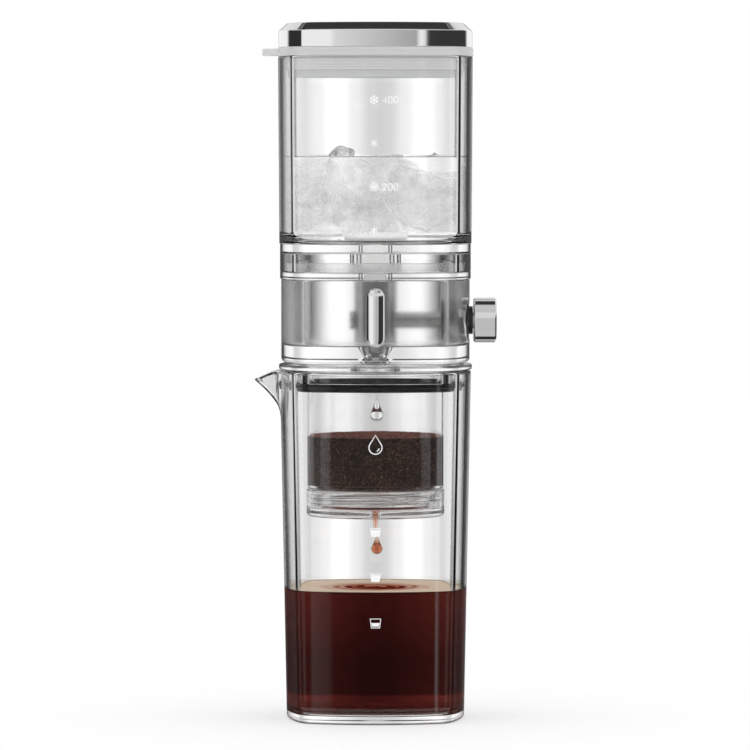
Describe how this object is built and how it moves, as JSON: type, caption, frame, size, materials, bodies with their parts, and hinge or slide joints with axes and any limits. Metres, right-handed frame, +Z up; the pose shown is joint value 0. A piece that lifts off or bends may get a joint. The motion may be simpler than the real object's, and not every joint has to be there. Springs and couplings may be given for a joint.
{
  "type": "cold drip coffee tower",
  "caption": "Squared clear tower that drips iced water through a needle valve and ground coffee into a spouted jug.",
  "frame": {"origin": "on the table under the middle of the tower", "axes": "+Z up, -X toward the pouring spout, +X toward the valve knob, -Y toward the front"},
  "size_m": [0.1036, 0.0838, 0.2975],
  "materials": {
    "glass": "clear pressed glass",
    "clear_plastic": "clear moulded copolyester",
    "black_silicone": "matt black silicone",
    "clear_silicone": "frosted translucent silicone",
    "steel_mesh": "etched stainless screen",
    "satin_metal": "turned stainless steel",
    "polished_metal": "polished stainless steel",
    "black_plastic": "black nylon",
    "core_plastic": "white translucent polypropylene"
  },
  "bodies": {
    "carafe": {"carafe": "glass"},
    "insert": {"insert_flange": "clear_plastic", "insert_gasket": "black_silicone", "filter_cup": "clear_plastic"},
    "screen": {"filter_screen": "steel_mesh"},
    "base": {"filter_base": "clear_plastic", "screen_seal": "clear_silicone"},
    "tank": {"valve_housing": "clear_plastic", "foot_seal": "clear_silicone", "valve_body": "satin_metal", "drip_nozzle": "satin_metal", "valve_plug": "satin_metal", "shaft_bush": "black_plastic", "bush_nut": "black_plastic", "front_pill": "polished_metal", "deck_plate": "clear_plastic", "tank": "clear_plastic", "inlet_washer": "clear_silicone", "inlet_nut": "satin_metal"},
    "needle": {"valve_needle": "satin_metal"},
    "knob": {"valve_spindle": "satin_metal", "spindle_oring": "black_silicone", "knob": "polished_metal", "knob_screw": "satin_metal"},
    "lid": {"lid_cap": "polished_metal", "lid_core": "core_plastic", "lid_seal": "clear_silicone"}
  },
  "joints": [
    {"name": "filter_lift", "type": "slide", "parent": "carafe", "child": "insert", "axis": [0, 0, 1], "range_m": [0, 0.09]},
    {"name": "base_drop", "type": "slide", "parent": "insert", "child": "screen", "axis": [0, 0, -1], "range_m": [0, 0.00705]},
    {"name": "base_turn", "type": "hinge", "parent": "screen", "child": "base", "pos_m": [0, 0, 0.0905], "axis": [0, 0, -1], "range_deg": [0, 540]},
    {"name": "tank_lift", "type": "slide", "parent": "insert", "child": "tank", "axis": [0, 0, 1], "range_m": [0, 0.06]},
    {"name": "lid_lift", "type": "slide", "parent": "tank", "child": "lid", "axis": [0, 0, 1], "range_m": [0, 0.04]},
    {"name": "knob_turn", "type": "hinge", "parent": "tank", "child": "knob", "pos_m": [0.0468, 0, 0.1706], "axis": [1, 0, 0], "range_deg": [-60, 300]},
    {"name": "needle_travel", "type": "slide", "parent": "tank", "child": "needle", "axis": [1, 0, 0], "range_m": [-0.00025, 0.00125]}
  ],
  "couplings": [
    {"joint": "base_drop", "follows": "base_turn", "m_per_rad": 0.000748},
    {"joint": "needle_travel", "follows": "knob_turn", "m_per_rad": 0.0002387}
  ]
}
